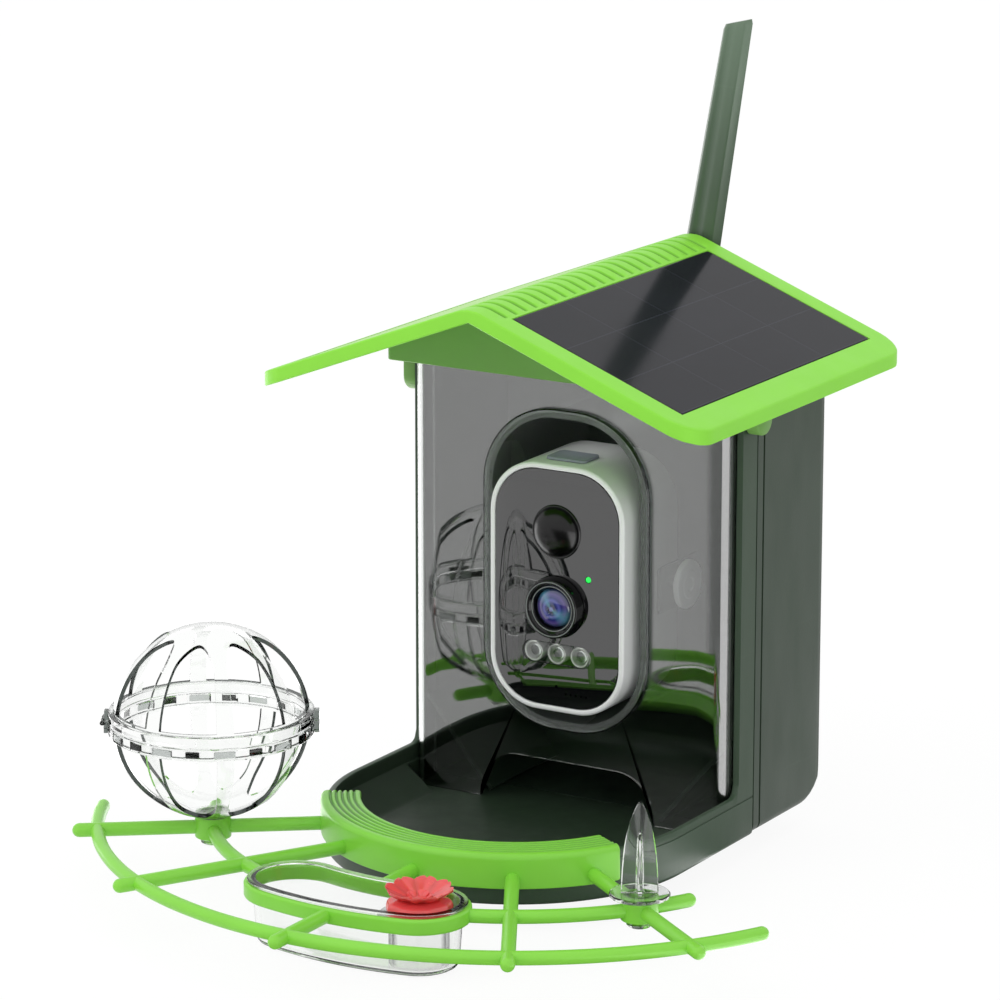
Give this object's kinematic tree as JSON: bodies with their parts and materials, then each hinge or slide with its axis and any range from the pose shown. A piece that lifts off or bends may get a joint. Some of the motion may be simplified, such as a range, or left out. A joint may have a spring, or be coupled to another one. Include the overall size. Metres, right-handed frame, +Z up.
{
  "type": "bird feeder",
  "caption": "Gabled hopper bird feeder with a clear front, a tilting camera, solar roof panels, a folding antenna and a clip-on perch that carries a cage ball, a spike and a nectar cup.",
  "frame": {"origin": "middle of the flat underside of the rear shell, where the feeder is held", "axes": "+Z up, -Y to the front where the tray and perch are, +X to the right as seen from the front"},
  "size_m": [0.3378, 0.3635, 0.3572],
  "materials": {
    "dark_green": "satin moulded",
    "bright_green": "satin moulded",
    "clear": "clear moulded plastic",
    "solar": "laminated, glossy",
    "white": "fine satin",
    "black_gloss": "polished",
    "smoked": "smoked, polished",
    "lens": "coated",
    "led_clear": "clear resin",
    "led_green": "lit green",
    "board": "solder mask",
    "cell": "shrink wrap",
    "steel": "bright",
    "rubber": "smooth",
    "red": "soft silicone"
  },
  "bodies": {
    "house": {"rear_shell": "dark_green", "front_housing": "dark_green", "hopper_window": "clear", "camera_tunnel": "clear", "seed_ramp_left": "dark_green", "seed_ramp_right": "dark_green", "antenna_socket": "dark_green"},
    "roof": {"roof_shell": "bright_green", "roof_skirt": "bright_green", "solar_panel_left": "solar", "solar_panel_right": "solar"},
    "antenna_swivel": {"antenna_base": "dark_green", "antenna_pin": "steel"},
    "antenna_arm": {"antenna_blade": "dark_green"},
    "camera": {"camera_shell": "white", "camera_face": "black_gloss", "pir_dome": "smoked", "pir_sensor": "steel", "lens_barrel": "black_gloss", "lens_glass": "lens", "ir_led_1": "led_clear", "ir_led_2": "led_clear", "ir_led_3": "led_clear", "ir_cover": "clear", "status_led": "led_green", "camera_board": "board", "camera_battery": "cell", "camera_speaker": "steel"},
    "card_door": {"card_flap": "rubber"},
    "knob_left": {"tilt_knob_left": "white"},
    "knob_right": {"tilt_knob_right": "white"},
    "perch_ring": {"perch": "bright_green"},
    "ball": {"ball_lower": "clear", "ball_hinge_pin": "clear"},
    "ball_lid": {"ball_upper": "clear"},
    "spike": {"fruit_spike": "clear"},
    "trough": {"nectar_trough": "clear"},
    "feeding_flower": {"flower": "red"}
  },
  "joints": [
    {"name": "roof_lift", "type": "slide", "parent": "house", "child": "roof", "axis": [0, 0, 1], "range_m": [0, 0.06]},
    {"name": "antenna_turn", "type": "hinge", "parent": "house", "child": "antenna_swivel", "pos_m": [-0.0067, 0.0747, 0.1915], "axis": [0, 1, 0], "range_deg": [-99, 80]},
    {"name": "antenna_fold", "type": "hinge", "parent": "antenna_swivel", "child": "antenna_arm", "pos_m": [-0.0067, 0.0747, 0.1915], "axis": [-0.9866, 0, 0.1633], "range_deg": [0, 90]},
    {"name": "camera_tilt", "type": "hinge", "parent": "house", "child": "camera", "pos_m": [0, -0.0153, 0.1081], "axis": [1, 0, 0], "range_deg": [-7, 7]},
    {"name": "card_door_hinge", "type": "hinge", "parent": "camera", "child": "card_door", "pos_m": [0, -0.0327, 0.1649], "axis": [-1, 0, 0], "range_deg": [0, 70]},
    {"name": "knob_left_turn", "type": "hinge", "parent": "house", "child": "knob_left", "pos_m": [-0.044, -0.0153, 0.1081], "axis": [-1, 0, 0], "continuous": true},
    {"name": "knob_right_turn", "type": "hinge", "parent": "house", "child": "knob_right", "pos_m": [0.044, -0.0153, 0.1081], "axis": [1, 0, 0], "continuous": true},
    {"name": "perch_lift", "type": "slide", "parent": "house", "child": "perch_ring", "axis": [0, 0, 1], "range_m": [0, 0.03]},
    {"name": "ball_lift", "type": "slide", "parent": "perch_ring", "child": "ball", "axis": [0, 0, 1], "range_m": [0, 0.016]},
    {"name": "ball_open", "type": "hinge", "parent": "ball", "child": "ball_lid", "pos_m": [-0.14737, -0.19272, 0.061], "axis": [0.515, -0.8572, 0], "range_deg": [0, 100]},
    {"name": "spike_lift", "type": "slide", "parent": "perch_ring", "child": "spike", "axis": [0, 0, 1], "range_m": [0, 0.018]},
    {"name": "trough_lift", "type": "slide", "parent": "perch_ring", "child": "trough", "axis": [0, 0, 1], "range_m": [0, 0.03]},
    {"name": "flower_lift", "type": "slide", "parent": "trough", "child": "feeding_flower", "axis": [0, 0, 1], "range_m": [0, 0.014]}
  ]
}
